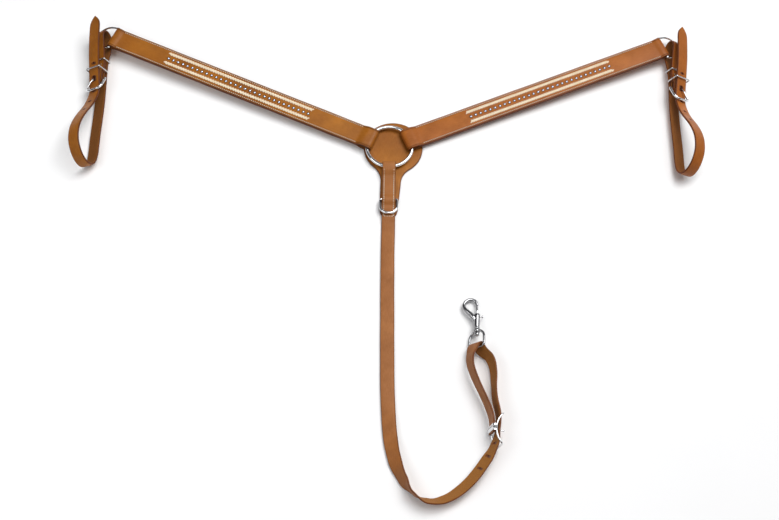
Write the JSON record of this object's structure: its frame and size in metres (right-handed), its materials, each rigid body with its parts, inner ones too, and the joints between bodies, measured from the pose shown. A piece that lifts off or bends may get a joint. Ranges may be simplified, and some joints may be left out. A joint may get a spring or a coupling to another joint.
{
  "type": "breastplate",
  "caption": "Western leather breast collar: laced shoulder straps on a chest ring, adjustable tugs with wire buckles, and a girth strap with Conway buckle and bolt snap.",
  "frame": {"origin": "on the back of the ring guard, under the centre of the chest ring", "axes": "+X towards the right shoulder strap as laid out, +Y from the girth end towards the shoulders, +Z out of the face of the straps"},
  "size_m": [1.2055, 0.9771, 0.0656],
  "materials": {
    "saddle_leather": "oiled harness leather",
    "nickel_plate": "bright nickel plate",
    "steel_wire": "polished wire",
    "rawhide": "cream rawhide lacing",
    "spot_metal": "small domed spots",
    "thread": "waxed thread"
  },
  "bodies": {
    "ring": {"center_ring": "nickel_plate"},
    "center_drop": {"ring_guard": "saddle_leather", "center_strap": "saddle_leather", "center_stitching": "thread"},
    "tail_dee": {"tail_dee": "nickel_plate"},
    "girth": {"girth_strap": "saddle_leather", "conway_frame": "nickel_plate", "conway_prong": "steel_wire"},
    "snap_eye": {"snap_eye": "nickel_plate"},
    "snap_body": {"snap_body": "nickel_plate"},
    "snap_bolt": {"snap_bolt": "steel_wire"},
    "left_shoulder": {"left_shoulder_front": "saddle_leather", "left_shoulder_lining": "saddle_leather", "left_shoulder_stitching": "thread", "left_rawhide_upper": "rawhide", "left_rawhide_lower": "rawhide", "left_spots": "spot_metal"},
    "left_end_dee": {"left_end_dee": "nickel_plate"},
    "left_tug": {"left_tug_strap": "saddle_leather", "left_tug_stitching": "thread"},
    "left_buckle": {"left_buckle_frame": "nickel_plate"},
    "left_tongue": {"left_buckle_tongue": "steel_wire"},
    "left_front_keeper": {"left_front_keeper": "steel_wire"},
    "left_rear_keeper": {"left_rear_keeper": "steel_wire"},
    "right_shoulder": {"right_shoulder_front": "saddle_leather", "right_shoulder_lining": "saddle_leather", "right_shoulder_stitching": "thread", "right_rawhide_upper": "rawhide", "right_rawhide_lower": "rawhide", "right_spots": "spot_metal"},
    "right_end_dee": {"right_end_dee": "nickel_plate"},
    "right_tug": {"right_tug_strap": "saddle_leather", "right_tug_stitching": "thread"},
    "right_buckle": {"right_buckle_frame": "nickel_plate"},
    "right_tongue": {"right_buckle_tongue": "steel_wire"},
    "right_front_keeper": {"right_front_keeper": "steel_wire"},
    "right_rear_keeper": {"right_rear_keeper": "steel_wire"}
  },
  "joints": [
    {"name": "drop_swing", "type": "hinge", "parent": "ring", "child": "center_drop", "pos_m": [0, -0.04275, 0.0105], "axis": [1, 0, 0], "range_deg": [-25, 0]},
    {"name": "tail_dee_lift", "type": "hinge", "parent": "center_drop", "child": "tail_dee", "pos_m": [0, -0.113, 0.0057], "axis": [1, 0, 0], "range_deg": [-75, 0]},
    {"name": "girth_flex", "type": "hinge", "parent": "center_drop", "child": "girth", "pos_m": [0, -0.178, 0.0017], "axis": [1, 0, 0], "range_deg": [-60, 15]},
    {"name": "snap_eye_swing", "type": "hinge", "parent": "girth", "child": "snap_eye", "pos_m": [0.1604, -0.4136, 0.0174], "axis": [0.7101, 0.0651, 0.7011], "range_deg": [-5, 50]},
    {"name": "snap_swivel", "type": "hinge", "parent": "snap_eye", "child": "snap_body", "pos_m": [0.1604, -0.4136, 0.0174], "axis": [0.0381, 0.9907, -0.1305], "continuous": true},
    {"name": "bolt_slide", "type": "slide", "parent": "snap_body", "child": "snap_bolt", "axis": [0.0381, 0.9907, -0.1305], "range_m": [-0.011, 0], "stiffness_N_per_m": 200, "springref_m": 0.012},
    {"name": "left_shoulder_swing", "type": "hinge", "parent": "ring", "child": "left_shoulder", "pos_m": [0, 0, 0.0105], "axis": [0, 0, 1], "range_deg": [-12, 25]},
    {"name": "left_dee_lift", "type": "hinge", "parent": "left_shoulder", "child": "left_end_dee", "pos_m": [-0.54974, 0.22546, 0.0245], "axis": [-0.3795, -0.9252, 0], "range_deg": [-35, 0]},
    {"name": "left_tug_swing", "type": "hinge", "parent": "left_end_dee", "child": "left_tug", "pos_m": [-0.57167, 0.20787, 0.01923], "axis": [0.866, 0, 0.5], "range_deg": [-8, 2]},
    {"name": "left_buckle_tilt", "type": "hinge", "parent": "left_tug", "child": "left_buckle", "pos_m": [-0.57157, 0.12887, 0.01906], "axis": [0.866, 0, 0.5], "range_deg": [-8, 2]},
    {"name": "left_tongue_tilt", "type": "hinge", "parent": "left_buckle", "child": "left_tongue", "pos_m": [-0.57157, 0.12887, 0.01906], "axis": [0.866, 0, 0.5], "range_deg": [-5, 0]},
    {"name": "left_front_keeper_slide", "type": "slide", "parent": "left_tug", "child": "left_front_keeper", "axis": [0, 1, 0], "range_m": [0, 0.005]},
    {"name": "left_rear_keeper_slide", "type": "slide", "parent": "left_tug", "child": "left_rear_keeper", "axis": [0, 1, 0], "range_m": [-0.003, 0.003]},
    {"name": "right_shoulder_swing", "type": "hinge", "parent": "ring", "child": "right_shoulder", "pos_m": [0, 0, 0.0105], "axis": [0, 0, 1], "range_deg": [-25, 12]},
    {"name": "right_dee_lift", "type": "hinge", "parent": "right_shoulder", "child": "right_end_dee", "pos_m": [0.54406, 0.23883, 0.0245], "axis": [-0.4019, 0.9157, 0], "range_deg": [-35, 0]},
    {"name": "right_tug_swing", "type": "hinge", "parent": "right_end_dee", "child": "right_tug", "pos_m": [0.56642, 0.22178, 0.01923], "axis": [0.866, 0, -0.5], "range_deg": [-8, 2]},
    {"name": "right_buckle_tilt", "type": "hinge", "parent": "right_tug", "child": "right_buckle", "pos_m": [0.56632, 0.14278, 0.01906], "axis": [0.866, 0, -0.5], "range_deg": [-8, 2]},
    {"name": "right_tongue_tilt", "type": "hinge", "parent": "right_buckle", "child": "right_tongue", "pos_m": [0.56632, 0.14278, 0.01906], "axis": [0.866, 0, -0.5], "range_deg": [-5, 0]},
    {"name": "right_front_keeper_slide", "type": "slide", "parent": "right_tug", "child": "right_front_keeper", "axis": [0, 1, 0], "range_m": [0, 0.005]},
    {"name": "right_rear_keeper_slide", "type": "slide", "parent": "right_tug", "child": "right_rear_keeper", "axis": [0, 1, 0], "range_m": [-0.003, 0.003]}
  ]
}
